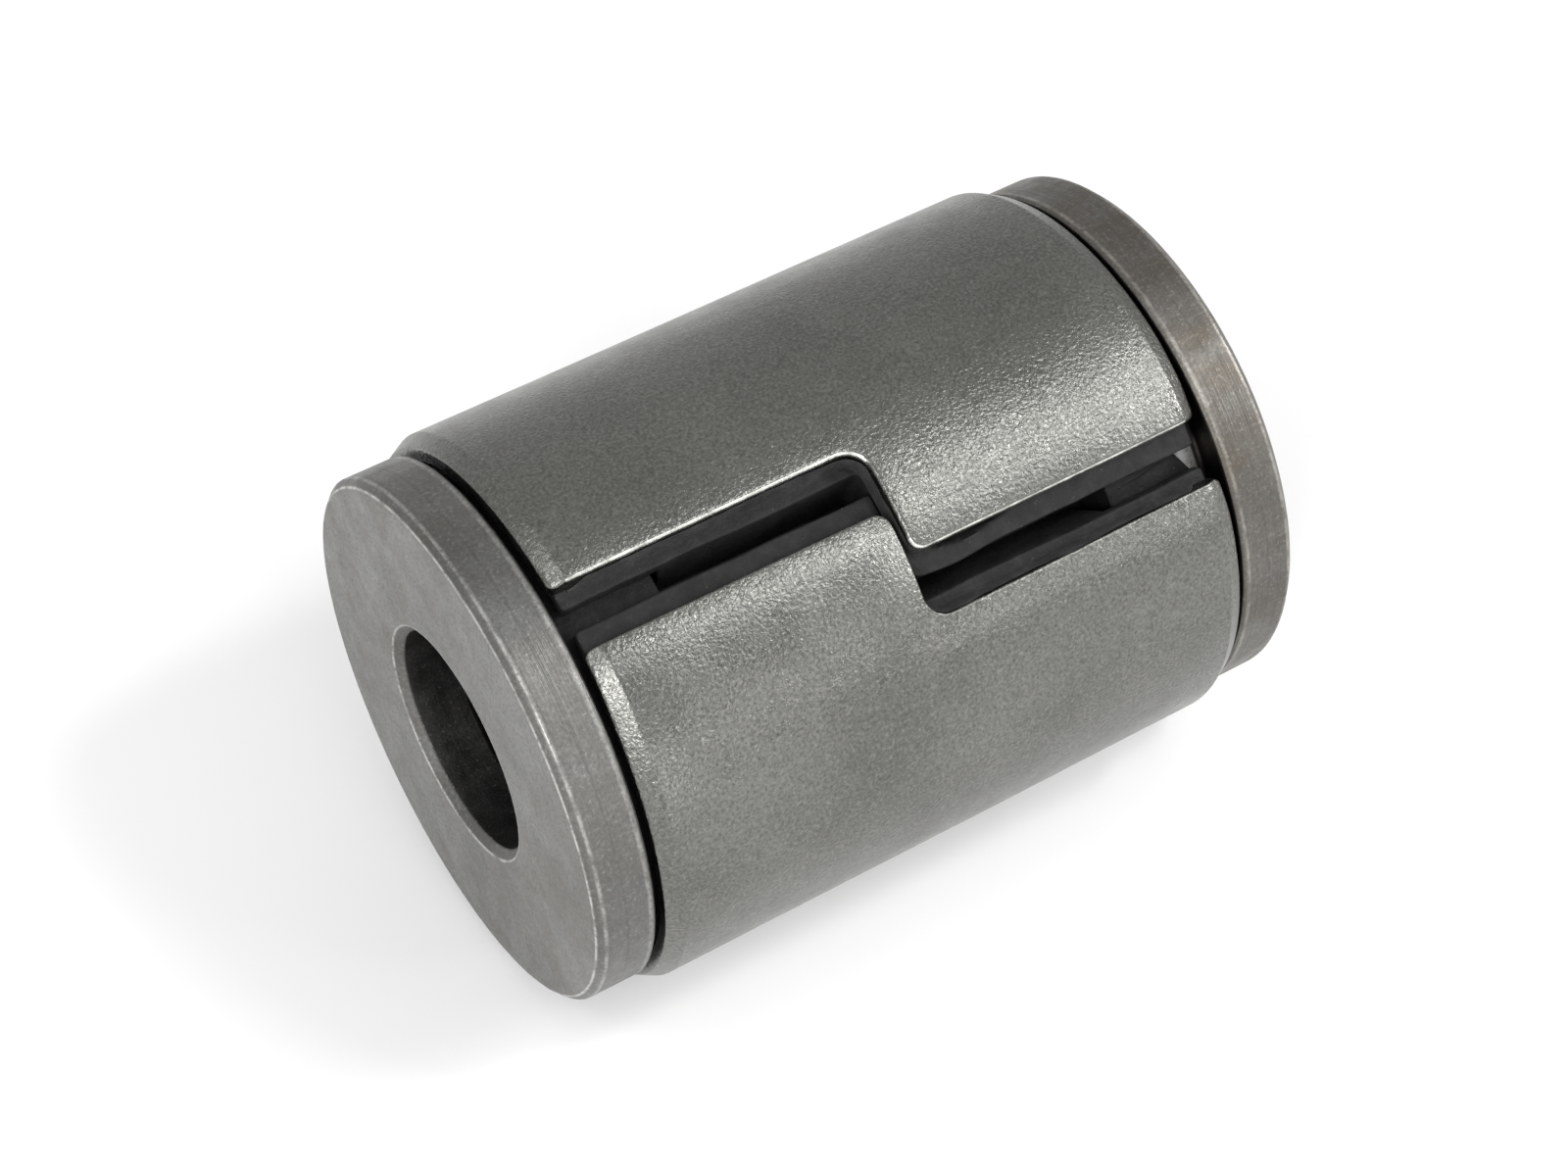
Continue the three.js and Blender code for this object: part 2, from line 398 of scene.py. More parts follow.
def sleeve():
    def outer(x, v, depth):
        e = HALF - np.abs(x)
        # a rolled chamfer at each end: it starts at a visible crease and rounds over into the end face
        chamfer = 0.53 * soft_step(1.75 - e, 0.05)
        chamfer = np.where(e < 0.35, chamfer + 0.3 * (1 - np.sqrt(np.clip(1 - ((0.35 - e) / 0.35) ** 2, 0, 1))) * 0.4, chamfer)
        # the upper tongue's edge is rubbed rounder than the lower one's
        rad = np.where(v < WRAP / 2, 0.22, 0.5)
        edge = np.where(slot_distance(np.stack([x, v], -1)) < 3.0, round_off(depth, rad), 0)
        edge = edge * np.clip(0.35 + e / 1.2, 0, 1)
        return R - chamfer - edge - sheet_shape(x, v)

    def inner(x, v, depth):
        return SLEEVE_IN + 0.02 + round_off(depth, 0.25)

    ends = HALF - np.array([0.68, 0.85, 1.05, 1.3, 1.55, 1.75, 1.85, 1.95, 2.15, 2.5, 3.0, 3.6])
    xs = np.concatenate([-ends, np.linspace(-HALF + 4.3, HALF - 4.3, 81), ends[::-1]])
    vs = np.concatenate([
        np.arange(SLOT_B + 0.9, 18, 0.6),
        np.arange(18.5, WRAP - 22, 1.4),
        np.arange(WRAP - 22 + 0.3, WRAP + SLOT_C, 0.6),
    ])
    return thick_sheet("sleeve_shell", SHEET, [0.0, 0.02, 0.06, 0.12, 0.2, 0.3, 0.42, 0.56], xs, vs, outer, inner, 3)


# ---- rubber ---------------------------------------------------------------------------
RUBBER_HALF = 33.5
RUBBER_TOP = 27.45
ZONE = 22.0  # the thick part of the moulding ends here, and the free-standing lips begin
LAYER_END = 23.4
LIP_IN = 25.85
CORE_LAYER = 19.0
SLIT = {"low_near": -5.13, "up_near": -7.70, "up_far": 5.24, "low_far": 7.91, "low_x": -0.49, "up_x": -0.21}
MOULDING = [
    (SLIT["low_x"], SLIT["low_near"], 0.5, True),
    (SLIT["low_x"], SLIT["low_far"], 0.7, False),
    (RUBBER_HALF, SLIT["low_far"], 0.5, True),
    (RUBBER_HALF, WRAP + SLIT["up_far"], 0.5, True),
    (SLIT["up_x"], WRAP + SLIT["up_far"], 0.9, True),
    (SLIT["up_x"], WRAP + SLIT["up_near"], 0.9, False),
    (-RUBBER_HALF, WRAP + SLIT["up_near"], 0.5, True),
    (-RUBBER_HALF, SLIT["low_near"], 0.5, True),
]


def wavy(x, seed, scale, amount):
    """A smooth seeded wander along x."""
    r = np.random.default_rng(seed)
    out = np.zeros_like(x)
    for k in range(5):
        out += r.normal() / (k + 1) * np.sin(x * (k + 1) / scale + r.uniform(0, 6.3))
    return amount * out / 1.5


def moulding():
    def wrap_v(v):
        return np.where(v > WRAP / 2 + 5, v - WRAP, v)

    def outer(x, v, depth):
        w = wrap_v(v)
        r = RUBBER_TOP - round_off(depth, 0.28)
        # the lips in the slot lie a little lower than the sleeve's inside, and not quite evenly
        e_low = np.where(x < STEP_LOW, w - SLOT_B, w - SLOT_D)
        e_up = np.where(x > STEP_HIGH, SLOT_C - w, SLOT_A - w)
        in_slot = ease(-np.maximum(e_low, e_up), -0.3, 0.5)
        in_slot = np.where((w > -12) & (w < 12), in_slot, 0)
        r = r - in_slot * (0.22 + wavy(x, 3, 6.0, 0.05) + wavy(w, 4, 1.1, 0.03))
        # a sink beside the far tongue, where the lip has come away from the sleeve's edge
        t = np.clip((x - 2.0) / 11.3, 0, 1)
        span = np.sin(np.pi * t**0.8) ** 1.2
        sink = ease(SLOT_C + 0.05 + 0.85 * span - w, 0.0, 0.4) * (w > SLOT_C - 1.2) * (w < 6)
        r = r - np.where((x > 2.0) & (x < 13.3), 1.35 * sink * np.clip(span * 2, 0, 1), 0)
        return r

    def inner(x, v, depth):
        ax = np.abs(x)
        lip = LIP_IN + round_off(depth, 0.2)
        return np.where(ax > ZONE, lip, CORE_LAYER + 0.42)

    ends = RUBBER_HALF - np.array([0.5, 0.8, 1.3, 2.0])
    mid = np.concatenate([[-ZONE - 0.05, -ZONE + 0.05], np.linspace(-ZONE + 0.6, ZONE - 0.6, 67), [ZONE - 0.05, ZONE + 0.05]])
    outer_x = np.linspace(ZONE + 0.7, RUBBER_HALF - 2.8, 9)
    xs = np.concatenate([-ends, -outer_x[::-1], mid, outer_x, ends[::-1]])
    vs = np.concatenate([
        np.arange(SLIT["low_near"] + 0.7, 13, 0.35),
        np.arange(13.5, WRAP - 15, 3.0),
        np.arange(WRAP - 15 + 0.3, WRAP + SLIT["up_far"] - 0.1, 0.35),
    ])
    o = thick_sheet("rubber_moulding", MOULDING, [0.0, 0.03, 0.09, 0.18, 0.28, 0.4], xs, vs, outer, inner, 8, spacing=0.6, angle=60)
    # the lip beside the far tongue bulges towards the slit
    me = o.data
    co = np.zeros(len(me.vertices) * 3)
    me.vertices.foreach_get("co", co)
    co = co.reshape(-1, 3) * 1000
    rad = np.hypot(co[:, 1], co[:, 2])
    w = (np.arctan2(co[:, 2], co[:, 1]) - PHI0 + math.pi) % (2 * math.pi) - math.pi
    w = w * R
    x = co[:, 0]
    # only the upper lip of the far half moves: it ends at up_far
    amount = 0.42 * bump(x, 4.6, 6.0) - 0.35 * bump(x, -0.6, 1.6)
    near = ease(w, 2.2, 4.6) * (w < SLIT["up_far"] + 0.3) * (x > SLIT["up_x"] - 0.2) * ease(rad, 23.5, 26.5)
    shift = amount * near
    # the edges of all the lips wander by a tenth of a millimetre
    for edge, seed, sel in (
        (SLIT["low_near"], 21, x < SLIT["low_x"] + 0.1),
        (SLIT["up_near"], 22, x < SLIT["up_x"] + 0.1),
        (SLIT["up_far"], 23, x > SLIT["up_x"] - 0.1),
        (SLIT["low_far"], 24, x > SLIT["low_x"] - 0.1),
    ):
        shift = shift + np.where(sel, wavy(x, seed, 4.0, 0.07) * bump(w, edge, 1.2), 0)
    ang = np.arctan2(co[:, 2], co[:, 1]) + shift / R
    co[:, 1], co[:, 2] = rad * np.cos(ang), rad * np.sin(ang)
    me.vertices.foreach_set("co", (co / 1000).ravel())
    me.update()
    return o


def core_layer():
    """Rubber bonded to the core tube, which is the floor of the slits."""
    prof = fillet(
        [(TUBE_R + 0.05, -LAYER_END, 0.0), (CORE_LAYER, -LAYER_END, 0.0), (CORE_LAYER, LAYER_END, 0.0), (TUBE_R + 0.05, LAYER_END, 0.0)]
    )
    dense = []
    for i in range(len(prof)):
        a, b = prof[i], prof[(i + 1) % len(prof)]
        dense.append(a)
        k = int(np.linalg.norm(b - a) // 1.5)
        for q in range(1, k + 1):
            dense.append(a + (b - a) * q / (k + 1))
    return lathe("core_rubber_layer", np.array(dense), 192, angle=40)


def hub_layer(name, side):
    """The thin rubber on a hub and its inner face, with an uneven end by the disc."""
    out = 25.3
    prof = fillet(
        [
            (HUB_R + 0.05, 34.55, 0.0),
            (out, 34.55, 0.2),
            (out, 23.45, 0.25),
            (TUBE_R + 0.05, 23.45, 0.0),
            (TUBE_R + 0.05, 23.95, 0.0),
            (HUB_R + 0.05, 23.95, 0.0),
        ],
        steps=4,
    )
    dense = []
    for i in range(len(prof)):
        a, b = prof[i], prof[(i + 1) % len(prof)]
        dense.append(a)
        k = int(np.linalg.norm(b - a) // 0.6)
        for q in range(1, k + 1):
            dense.append(a + (b - a) * q / (k + 1))
    dense = np.array(dense) * np.array([1, side])

    def shape(r, x, p):
        th = np.degrees((p - PHI0 + math.pi) % (2 * math.pi) - math.pi)
        ax = np.abs(x)
        late = ease(ax, 31.4, 34.5)
        end = wavy(th, 31 + side, 14.0, 0.12)
        if side > 0:
            # torn back in one corner, so that the bare hub shows beside the disc
            end = end + np.interp(th, [4, 8.4, 9.4, 17.2, 18.5, 24], [0, -0.3, -2.75, -0.85, 0.0, 0.0])
        x = np.sign(x) * (ax + late * end)
        r = r + np.where(r > HUB_R + 0.2, wavy(th + ax * 3, 35 + side, 5.0, 0.03), 0)
        return r, x

    return lathe(name, dense, 720, shape=shape, angle=45)


def flash(name, path, width=0.14, height=0.16):
    """A thin lip of moulding flash on the hub's rubber: path is (x, theta in degrees, radius)."""
    pts = []
    P = np.array(path, float)
    t = np.linspace(0, len(P) - 1, 24)
    x = np.interp(t, range(len(P)), P[:, 0])
    th = np.interp(t, range(len(P)), P[:, 1])
    r = np.interp(t, range(len(P)), P[:, 2])
    fade = np.sin(np.pi * np.clip(np.linspace(0.03, 0.97, 24), 0, 1)) ** 0.5
    verts, faces = [], []
    for i in range(24):
        phi = PHI0 + math.radians(th[i])
        for dw, dh in ((-1, -0.4), (1, -0.4), (0.5, 0.7), (0, 1), (-0.5, 0.7)):
            rr = r[i] + dh * height * fade[i]
            verts.append(polar(x[i], rr, phi + dw * width * fade[i] / rr))
    for i in range(23):
        for k in range(5):
            m = (k + 1) % 5
            faces.append((i * 5 + k, i * 5 + m, i * 5 + 5 + m, i * 5 + 5 + k))
    faces.append(tuple(range(5)))
    faces.append(tuple(reversed(range(23 * 5, 23 * 5 + 5))))
    o = put(name, np.array(verts), faces, angle=60)
    fix_normals(o)
    return o


def bend_through(o):
    """Bakes the moulding's placement into its mesh and reads its vertices in millimetres; nothing is moved."""
    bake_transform(o)
    co = np.zeros(len(o.data.vertices) * 3)
    o.data.vertices.foreach_get("co", co)
    co = co.reshape(-1, 3) * 1000


# ---- steel core ----------------------------------------------------------------------
def flanged_hub(name, side):
    prof = [
        (BORE + 0.95, FACE, 0.12),
        (FLANGE_R - 0.75, FACE, 0.16),
        (FLANGE_R, FACE - 0.75, 0.2),
        (FLANGE_R, BACK + 0.25, 0.12),
        (FLANGE_R - 0.25, BACK, 0.12),
        (HUB_R, BACK, 0.5),
        (HUB_R, HUB_IN, 0.3),
        (TUBE_R + 0.05, HUB_IN, 0.15),
        (TUBE_R + 0.05, 31.5, 0.0),
        (BORE, 31.5, 0.0),
        (BORE, FACE - 0.95, 0.12),
    ]
    pts = fillet([(r, x, f) for r, x, f in prof], steps=5)
    # the profile is split into pieces shorter than 1.2 mm
    dense = []
    m = len(pts)
    for i in range(m):
        a, b = pts[i], pts[(i + 1) % m]
        dense.append(a)
        length = np.linalg.norm(b - a)
        k = int(length // 1.2)
        for s in range(1, k + 1):
            dense.append(a + (b - a) * s / (k + 1))
    dense = np.array(dense)
    if side < 0:
        dense = dense * np.array([1, -1])
    return lathe(name, dense, 288, angle=40)


def core_tube():
    prof = fillet(
        [
            (BORE, -31.4, 0.2),
            (TUBE_R, -31.4, 0.5),
            (TUBE_R, 31.4, 0.5),
            (BORE, 31.4, 0.2),
        ],
        steps=4,
    )
    dense = []
    for i in range(len(prof)):
        a, b = prof[i], prof[(i + 1) % len(prof)]
        dense.append(a)
        k = int(np.linalg.norm(b - a) // 4)
        for s in range(1, k + 1):
            dense.append(a + (b - a) * s / (k + 1))
    return lathe("tube", np.array(dense), 192, angle=40)


# ---- materials -------------------------------------------------------------------------
def nodes_of(name):
    m = bpy.data.materials.new(name)
    m.use_nodes = True
    nt = m.node_tree
    nt.nodes.clear()
    out = nt.nodes.new("ShaderNodeOutputMaterial")
    bsdf = nt.nodes.new("ShaderNodeBsdfPrincipled")
    nt.links.new(bsdf.outputs[0], out.inputs[0])
    tc = nt.nodes.new("ShaderNodeTexCoord")
    return m, nt, bsdf, tc


def noise(nt, vector, scale, detail=3.0, rough=0.5, distortion=0.0):
    n = nt.nodes.new("ShaderNodeTexNoise")
    n.inputs["Scale"].default_value = scale
    n.inputs["Detail"].default_value = detail
    n.inputs["Roughness"].default_value = rough
    n.inputs["Distortion"].default_value = distortion
    nt.links.new(vector, n.inputs["Vector"])
    return n.outputs["Fac"]


def ramp(nt, fac, stops):
    r = nt.nodes.new("ShaderNodeValToRGB")
    while len(r.color_ramp.elements) > 1:
        r.color_ramp.elements.remove(r.color_ramp.elements[0])
    for i, (pos, col) in enumerate(stops):
        e = r.color_ramp.elements[0] if i == 0 else r.color_ramp.elements.new(pos)
        e.position = pos
        e.color = (*col, 1.0) if len(col) == 3 else col
    nt.links.new(fac, r.inputs["Fac"])
    return r.outputs["Color"]


def mapping(nt, vector, scale):
    m = nt.nodes.new("ShaderNodeMapping")
    m.inputs["Scale"].default_value = scale
    nt.links.new(vector, m.inputs["Vector"])
    return m.outputs["Vector"]


def mathn(nt, op, a, b=None, c=None):
    n = nt.nodes.new("ShaderNodeMath")
    n.operation = op
    for i, s in enumerate((a, b, c)):
        if s is None:
            continue
        if isinstance(s, (int, float)):
            n.inputs[i].default_value = s
        else:
            nt.links.new(s, n.inputs[i])
    return n.outputs[0]


def map_range(nt, val, a, b, c, d):
    n = nt.nodes.new("ShaderNodeMapRange")
    n.inputs["From Min"].default_value = a
    n.inputs["From Max"].default_value = b
    n.inputs["To Min"].default_value = c
    n.inputs["To Max"].default_value = d
    nt.links.new(val, n.inputs["Value"])
    return n.outputs["Result"]


def bumpn(nt, height, strength, distance, normal=None):
    b = nt.nodes.new("ShaderNodeBump")
    b.inputs["Strength"].default_value = strength
    b.inputs["Distance"].default_value = distance
    nt.links.new(height, b.inputs["Height"])
    if normal is not None:
        nt.links.new(normal, b.inputs["Normal"])
    return b.outputs["Normal"]


def grey(v, tint=(1.0, 1.0, 0.935)):
    return tuple(v * t for t in tint)


def spots(nt, vector, scale, size, randomness=1.0):
    """1 inside small scattered specks, 0 outside."""
    n = nt.nodes.new("ShaderNodeTexVoronoi")
    n.inputs["Scale"].default_value = scale
    n.inputs["Randomness"].default_value = randomness
    nt.links.new(vector, n.inputs["Vector"])
    return map_range(nt, n.outputs["Distance"], size, size * 0.6, 0.0, 1.0)


def mixc(nt, fac, a, b):
    m = nt.nodes.new("ShaderNodeMix")
    m.data_type = "RGBA"
    nt.links.new(fac, m.inputs[0])
    for i, s in ((6, a), (7, b)):
        if isinstance(s, tuple):
            m.inputs[i].default_value = (*s, 1.0)
        else:
            nt.links.new(s, m.inputs[i])
    return m.outputs[2]


def sleeve_steel():
    m, nt, bsdf, tc = nodes_of("sleeve_steel")
    obj = tc.outputs["Object"]
    blot = noise(nt, obj, 60, 5, 0.6)
    col = ramp(nt, blot, [(0.3, grey(0.135)), (0.5, grey(0.165)), (0.72, grey(0.195))])
    fine = noise(nt, obj, 2900, 3, 0.65)
    col = mixc(nt, map_range(nt, fine, 0.52, 0.32, 0.0, 0.62), col, grey(0.075))
    col = mixc(nt, map_range(nt, fine, 0.54, 0.70, 0.0, 0.55), col, grey(0.28))
    nt.links.new(col, bsdf.inputs["Base Color"])
    bsdf.inputs["Metallic"].default_value = 1.0
    rough = map_range(nt, noise(nt, obj, 300, 4, 0.6), 0.3, 0.7, 0.25, 0.36)
    nt.links.new(rough, bsdf.inputs["Roughness"])
    peel = noise(nt, obj, 2700, 2.5, 0.55, 0.4)
    n1 = bumpn(nt, peel, 0.7, 0.00013)
    broad = noise(nt, obj, 800, 2.0, 0.5)
    n2 = bumpn(nt, broad, 0.2, 0.00012, n1)
    nt.links.new(n2, bsdf.inputs["Normal"])
    return m


# bright steel for the upper tongue's slot edges: partly real wear, partly a painted highlight along the edge
def worn_edge_steel_and_highlight():
    m, nt, bsdf, tc = nodes_of("sleeve_steel_worn_edge_and_highlight")
    obj = tc.outputs["Object"]
    col = ramp(nt, noise(nt, obj, 700, 4, 0.65), [(0.32, grey(0.34)), (0.5, grey(0.62)), (0.65, grey(0.85))])
    nt.links.new(col, bsdf.inputs["Base Color"])
    bsdf.inputs["Metallic"].default_value = 1.0
    rough = map_range(nt, noise(nt, obj, 900, 3, 0.6), 0.3, 0.7, 0.28, 0.42)
    nt.links.new(rough, bsdf.inputs["Roughness"])
    nt.links.new(bumpn(nt, noise(nt, obj, 2400, 2.0, 0.5), 0.35, 0.0001), bsdf.inputs["Normal"])
    return m


def disc_steel(name, tint, level, stain):
    m, nt, bsdf, tc = nodes_of(name)
    obj = tc.outputs["Object"]
    sep = nt.nodes.new("ShaderNodeSeparateXYZ")
    nt.links.new(obj, sep.inputs[0])
    rad = mathn(nt, "SQRT", mathn(nt, "ADD", mathn(nt, "MULTIPLY", sep.outputs["Y"], sep.outputs["Y"]), mathn(nt, "MULTIPLY", sep.outputs["Z"], sep.outputs["Z"])))
    comb = nt.nodes.new("ShaderNodeCombineXYZ")
    nt.links.new(sep.outputs["X"], comb.inputs["X"])
    nt.links.new(rad, comb.inputs["Y"])
    ringv = comb.outputs[0]
    blot = noise(nt, obj, 110, 5, 0.62)
    col = ramp(nt, blot, [(0.3, tuple(level * 0.80 * t for t in tint)), (0.7, tuple(level * 1.15 * t for t in tint))])
    brown = map_range(nt, noise(nt, mapping(nt, obj, (0.5, 1, 1)), 130, 6, 0.7), 0.46, 0.64, 0.0, stain)
    col = mixc(nt, brown, col, (level * 0.62, level * 0.52, level * 0.40))
    on_rim = map_range(nt, rad, 0.0277, 0.0284, 0.22, 1.0)
    tracks = map_range(nt, noise(nt, ringv, 2600, 3.0, 0.65), 0.44, 0.28, 0.0, 0.6)
    tracks = mathn(nt, "MULTIPLY", tracks, on_rim)
    col = mixc(nt, tracks, col, tuple(level * 0.45 * t for t in tint))
    # the rim was turned and then left to darken; the end faces are rubbed brighter
    ax = mathn(nt, "ABSOLUTE", sep.outputs["X"])
    rim = map_range(nt, ax, 0.04142, 0.04132, 0.0, 0.45)
    col = mixc(nt, rim, col, tuple(level * 0.28 * t for t in tint))
    # the edges between face, chamfers and rim are coloured bright: partly real wear, partly a painted highlight along
    # each edge
    e1 = map_range(nt, mathn(nt, "ABSOLUTE", mathn(nt, "SUBTRACT", rad, 0.02785)), 0.00006, 0.00016, 1.0, 0.0)
    e2 = map_range(nt, mathn(nt, "ABSOLUTE", mathn(nt, "SUBTRACT", rad, 0.01295)), 0.00006, 0.00016, 1.0, 0.0)
    on_face = map_range(nt, ax, 0.0412, 0.0414, 0.0, 1.0)
    wear_and_highlight = map_range(nt, noise(nt, obj, 500, 3, 0.6), 0.35, 0.55, 0.15, 0.9)
    edge = mathn(nt, "MULTIPLY", mathn(nt, "MULTIPLY", mathn(nt, "ADD", e1, e2), on_face), wear_and_highlight)
    e3 = map_range(nt, mathn(nt, "ABSOLUTE", mathn(nt, "SUBTRACT", ax, 0.0407)), 0.00008, 0.0003, 1.0, 0.0)
    e3 = mathn(nt, "MULTIPLY", e3, map_range(nt, rad, 0.0284, 0.02855, 0.0, 0.5))
    e4 = map_range(nt, mathn(nt, "ABSOLUTE", mathn(nt, "SUBTRACT", ax, 0.03572)), 0.00008, 0.0003, 1.0, 0.0)
    e4 = mathn(nt, "MULTIPLY", e4, map_range(nt, rad, 0.0284, 0.02855, 0.0, 0.35))
    edge = mathn(nt, "ADD", edge, mathn(nt, "MULTIPLY", mathn(nt, "ADD", e3, e4), wear_and_highlight))
    col = mixc(nt, edge, col, tuple(min(1.0, level * 2.4 * t) for t in tint))
    bare = mathn(nt, "MULTIPLY", map_range(nt, rad, 0.0249, 0.0252, 0.8, 0.0), map_range(nt, ax, 0.0342, 0.0345, 1.0, 0.0))
    bare = mathn(nt, "MULTIPLY", bare, map_range(nt, rad, 0.0243, 0.0246, 0.0, 1.0))
    col = mixc(nt, bare, col, (0.33, 0.33, 0.325))
    # painted shade just inside the bore's mouth
    lip = map_range(nt, rad, 0.01205, 0.01215, 0.75, 0.0)
    col = mixc(nt, lip, col, tuple(0.03 * t for t in tint))
    fine = noise(nt, obj, 2600, 4, 0.7)
    col = mixc(nt, map_range(nt, fine, 0.51, 0.32, 0.0, 0.75), col, tuple(level * 0.45 * t for t in tint))
    col = mixc(nt, map_range(nt, fine, 0.56, 0.72, 0.0, 0.5), col, tuple(level * 1.5 * t for t in tint))
    # painted shade behind the disc, in the corner seen through the gap to the sleeve's end
    gap_painted_shade = mathn(nt, "MULTIPLY", map_range(nt, ax, 0.0342, 0.0345, 0.0, 0.93), map_range(nt, ax, 0.03515, 0.0353, 1.0, 0.0))
    gap_painted_shade = mathn(nt, "MULTIPLY", gap_painted_shade, map_range(nt, rad, 0.0283, 0.0279, 0.0, 1.0))
    col = mixc(nt, gap_painted_shade, col, (0.012, 0.011, 0.010))
    nt.links.new(col, bsdf.inputs["Base Color"])
    bsdf.inputs["Metallic"].default_value = 1.0
    rough = map_range(nt, noise(nt, obj, 400, 4, 0.65), 0.3, 0.7, 0.38, 0.56)
    nt.links.new(rough, bsdf.inputs["Roughness"])
    grain = noise(nt, obj, 3600, 3.0, 0.6)
    n1 = bumpn(nt, grain, 0.25, 0.00010)
    # circumferential turning lines: a fine noise of x alone on the rim, of radius alone on the faces
    lines = noise(nt, ringv, 4200, 2.0, 0.5)
    lines = mathn(nt, "MULTIPLY", lines, on_rim)
    n2 = bumpn(nt, lines, 0.45, 0.00010, n1)
    coarse = mathn(nt, "MULTIPLY", noise(nt, ringv, 900, 1.0, 0.5), on_rim)
    n3 = bumpn(nt, coarse, 0.4, 0.00014, n2)
    nt.links.new(n3, bsdf.inputs["Normal"])
    return m


def bore_steel_painted_shade():
    m, nt, bsdf, tc = nodes_of("bore_steel_painted_shade")
    obj = tc.outputs["Object"]
    blot = noise(nt, obj, 160, 4, 0.6)
    # the bore's near-black colour is painted shade inside the tube
    col = ramp(nt, blot, [(0.3, (0.018, 0.017, 0.016)), (0.7, (0.040, 0.038, 0.035))])
    nt.links.new(col, bsdf.inputs["Base Color"])
    bsdf.inputs["Metallic"].default_value = 0.6
    rough = map_range(nt, noise(nt, mapping(nt, obj, (0.25, 1, 1)), 1300, 3, 0.6), 0.3, 0.7, 0.42, 0.6)
    nt.links.new(rough, bsdf.inputs["Roughness"])
    grain = noise(nt, mapping(nt, obj, (0.12, 1, 1)), 2600, 3.0, 0.6)
    nt.links.new(bumpn(nt, grain, 0.4, 0.00015), bsdf.inputs["Normal"])
    return m


def rubber_mat(name="rubber_black", level=1.0):
    m, nt, bsdf, tc = nodes_of(name)
    obj = tc.outputs["Object"]
    blot = noise(nt, obj, 420, 5, 0.65)
    stops = [(0.3, 0.009), (0.55, 0.0145), (0.75, 0.024)]
    col = ramp(nt, blot, [(p, (v * level, v * level, v * level * 0.98)) for p, v in stops])
    dust = spots(nt, obj, 1500, 0.13)
    patch = map_range(nt, noise(nt, obj, 260, 3, 0.6), 0.46, 0.62, 0.0, 1.0)
    fac = mathn(nt, "MULTIPLY", dust, patch)
    fac = mathn(nt, "MULTIPLY", fac, 0.5)
    col = mixc(nt, fac, col, (0.16, 0.16, 0.15))
    nt.links.new(col, bsdf.inputs["Base Color"])
    rough = map_range(nt, noise(nt, obj, 900, 3, 0.6), 0.3, 0.7, 0.58, 0.78)
    nt.links.new(rough, bsdf.inputs["Roughness"])
    bsdf.inputs["Specular IOR Level"].default_value = 0.28
    grain = noise(nt, obj, 2600, 4.0, 0.6)
    n1 = bumpn(nt, grain, 0.55, 0.0002)
    nt.links.new(bumpn(nt, noise(nt, obj, 700, 2.0, 0.5), 0.4, 0.0003, n1), bsdf.inputs["Normal"])
    return m


def dress(o, material, body, slot, *nodes):
    o.data.materials.clear()
    o.data.materials.append(material)
    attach(o, body)
    if nodes:
        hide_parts(*nodes)


STEEL = sleeve_steel()
DISC_NEAR = disc_steel("core_steel_near", (1.0, 0.995, 0.955), 0.245, 0.3)
DISC_FAR = disc_steel("core_steel_far", (1.0, 0.955, 0.88), 0.225, 0.85)
BORE_STEEL_PAINTED_SHADE = bore_steel_painted_shade()
RUBBER = rubber_mat()
# a darker copy of the rubber for the slit floor and the hub layers deep in the slot: painted shade
RUBBER_PAINTED_SHADE = rubber_mat("rubber_deep_painted_shade", 0.28)
# a lighter copy of the rubber for the rubber crept up the slot's walls: painted light that cancels the shade on those
# walls
RUBBER_FILM_PAINTED_LIGHT = rubber_mat("rubber_film_painted_light", 2.7)

shell = sleeve()
dress(shell, STEEL, "outer", "sleeve_steel", "outer_sleeve")
shell.data.materials.append(worn_edge_steel_and_highlight())
for f in shell.data.polygons:
    c = f.center
    x, r = c.x * 1000, math.hypot(c.y, c.z) * 1000
    w = ((math.atan2(c.z, c.y) - PHI0 + math.pi) % (2 * math.pi) - math.pi) * R
    if r < 29.2 or abs(x) > HALF - 1.7:
        continue
    # only the edges of the upper tongue get the bright edge steel, a third of a millimetre wide: partly real wear,
    # partly a painted highlight
    if x < STEP_HIGH and w < 0 and w > SLOT_A - 0.26 and w < SLOT_A + 3.5:
        d = SLOT_A - w
        if x > STEP_HIGH - 2.6:
            cx, cw = STEP_HIGH - 2.5, SLOT_A + 2.5
            d = math.hypot(x - cx, w - cw) - 2.5 if w < cw else x - STEP_HIGH
        if -0.1 < d < 0.34:
            f.material_index = 1
    elif x >= STEP_HIGH - 0.1:
        d = SLOT_C - w
        if x < STEP_HIGH + 1.55 and w > SLOT_C - 1.55:
            cx, cw = STEP_HIGH + 1.55, SLOT_C - 1.55
            d = 1.55 - math.hypot(x - cx, w - cw)
        elif w <= SLOT_C - 1.55:
            d = 9
        if -0.1 < d < 0.34:
            f.material_index = 1
near = flanged_hub("near_disc_and_hub", -1)
dress(near, DISC_NEAR, "core", "core_steel", "near_flanged_hub")
far = flanged_hub("far_disc_and_hub", 1)
dress(far, DISC_FAR, "core", "core_steel", "far_flanged_hub")
tube = core_tube()
dress(tube, BORE_STEEL_PAINTED_SHADE, "core", "core_steel", "core_tube")
body = moulding()
body.data.materials.append(RUBBER)
bend_through(body)
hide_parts("rubber_body")
# the slit floor and the hub layers wear the darker rubber copy, painted shade
dress(core_layer(), RUBBER_PAINTED_SHADE, "core", "rubber")
dress(hub_layer("near_hub_layer", -1), RUBBER_PAINTED_SHADE, "core", "rubber", "near_hub_rubber")
dress(hub_layer("far_hub_layer", 1), RUBBER_PAINTED_SHADE, "core", "rubber", "far_hub_rubber")
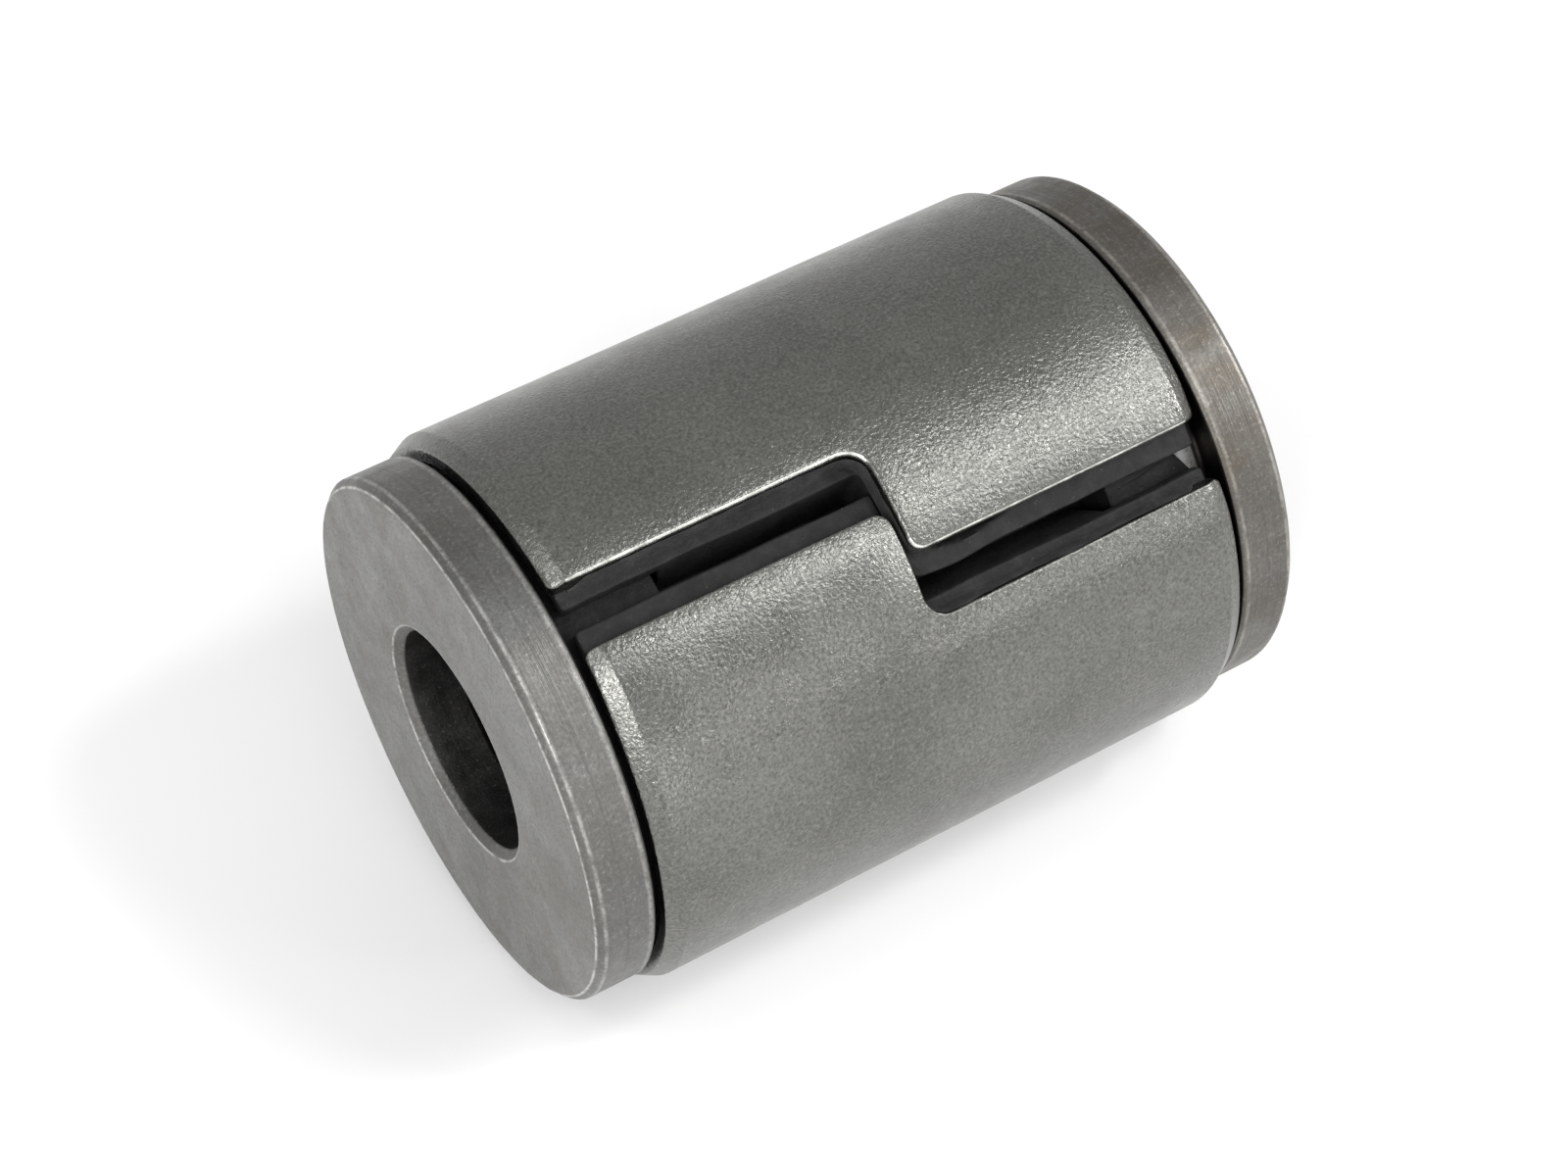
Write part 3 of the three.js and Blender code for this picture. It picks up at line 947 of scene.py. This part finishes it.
# the crept rubber on the slot's walls wears the lighter rubber copy, painted light against their shade
paths = {off: slot_path(off)[0] for off in (0.015, 0.04, 0.10, 0.17, 0.29)}
for k, run in enumerate(slot_path(0.015)[1]):
    dress(climb("rubber_creep_%s" % "ab"[k], paths, run, 40 + k), RUBBER_FILM_PAINTED_LIGHT, "outer", "rubber")
dress(flash("hub_flash_a", [(23.6, 10.6, 25.34), (26.5, 11.0, 25.34), (29.8, 10.2, 25.34)], 0.14, 0.12), RUBBER, "core", "rubber")
dress(flash("hub_flash_b", [(24.6, 12.6, 25.34), (28.0, 12.0, 25.34), (31.6, 10.6, 25.34)], 0.1, 0.1), RUBBER, "core", "rubber")
dress(flash("slit_flash", [(-0.62, 9.6, 26.9), (-0.45, 12.3, 27.0), (-0.62, 14.6, 26.9)], 0.16, 0.25), RUBBER, "outer", "rubber")

# ---- stage and light ---------------------------------------------------------------------
def stage():
    w = bpy.data.worlds.new("studio")
    bpy.context.scene.world = w
    w.use_nodes = True
    bg = w.node_tree.nodes["Background"]
    bg.inputs["Color"].default_value = (1, 1, 1, 1)
    bg.inputs["Strength"].default_value = 0.72
    s = 3.0
    mesh = bpy.data.meshes.new("floor")
    mesh.from_pydata([(-s, -s, -0.03), (s, -s, -0.03), (s, s, -0.03), (-s, s, -0.03)], [], [(0, 1, 2, 3)])
    floor = bpy.data.objects.new("floor", mesh)
    bpy.context.scene.collection.objects.link(floor)
    m, nt, bsdf, tc = nodes_of("floor_pale")
    bsdf.inputs["Base Color"].default_value = (0.86, 0.86, 0.86, 1)
    bsdf.inputs["Roughness"].default_value = 0.9
    mesh.materials.append(m)


def area(name, loc, target, size, power, size_y=None):
    d = bpy.data.lights.new(name, "AREA")
    d.shape = "RECTANGLE"
    d.size = size
    d.size_y = size_y or size
    d.energy = power
    o = bpy.data.objects.new(name, d)
    bpy.context.scene.collection.objects.link(o)
    o.location = loc
    o.rotation_mode = "QUATERNION"
    o.rotation_quaternion = (Vector(target) - Vector(loc)).to_track_quat("-Z", "Y")
    return o


stage()
area("over", (0.28, -0.28, 0.60), (0, 0, 0), 0.14, 1.15, 0.08)
area("left", (-0.46, -0.40, 0.38), (0, 0, 0), 0.20, 2.7, 0.34)
area("top_left", (-0.36, 0.0, 0.50), (0, 0, 0), 0.14, 0.35)
area("right", (0.62, -0.30, 0.36), (0, 0, 0), 0.22, 2.6)
area("near", (-0.06, -0.54, 0.12), (0, 0, 0), 0.12, 0.34)
area("front", (0.255, -0.52, 0.21), (0, 0, 0), 0.08, 0.26)
bpy.context.scene.view_settings.view_transform = "Standard"
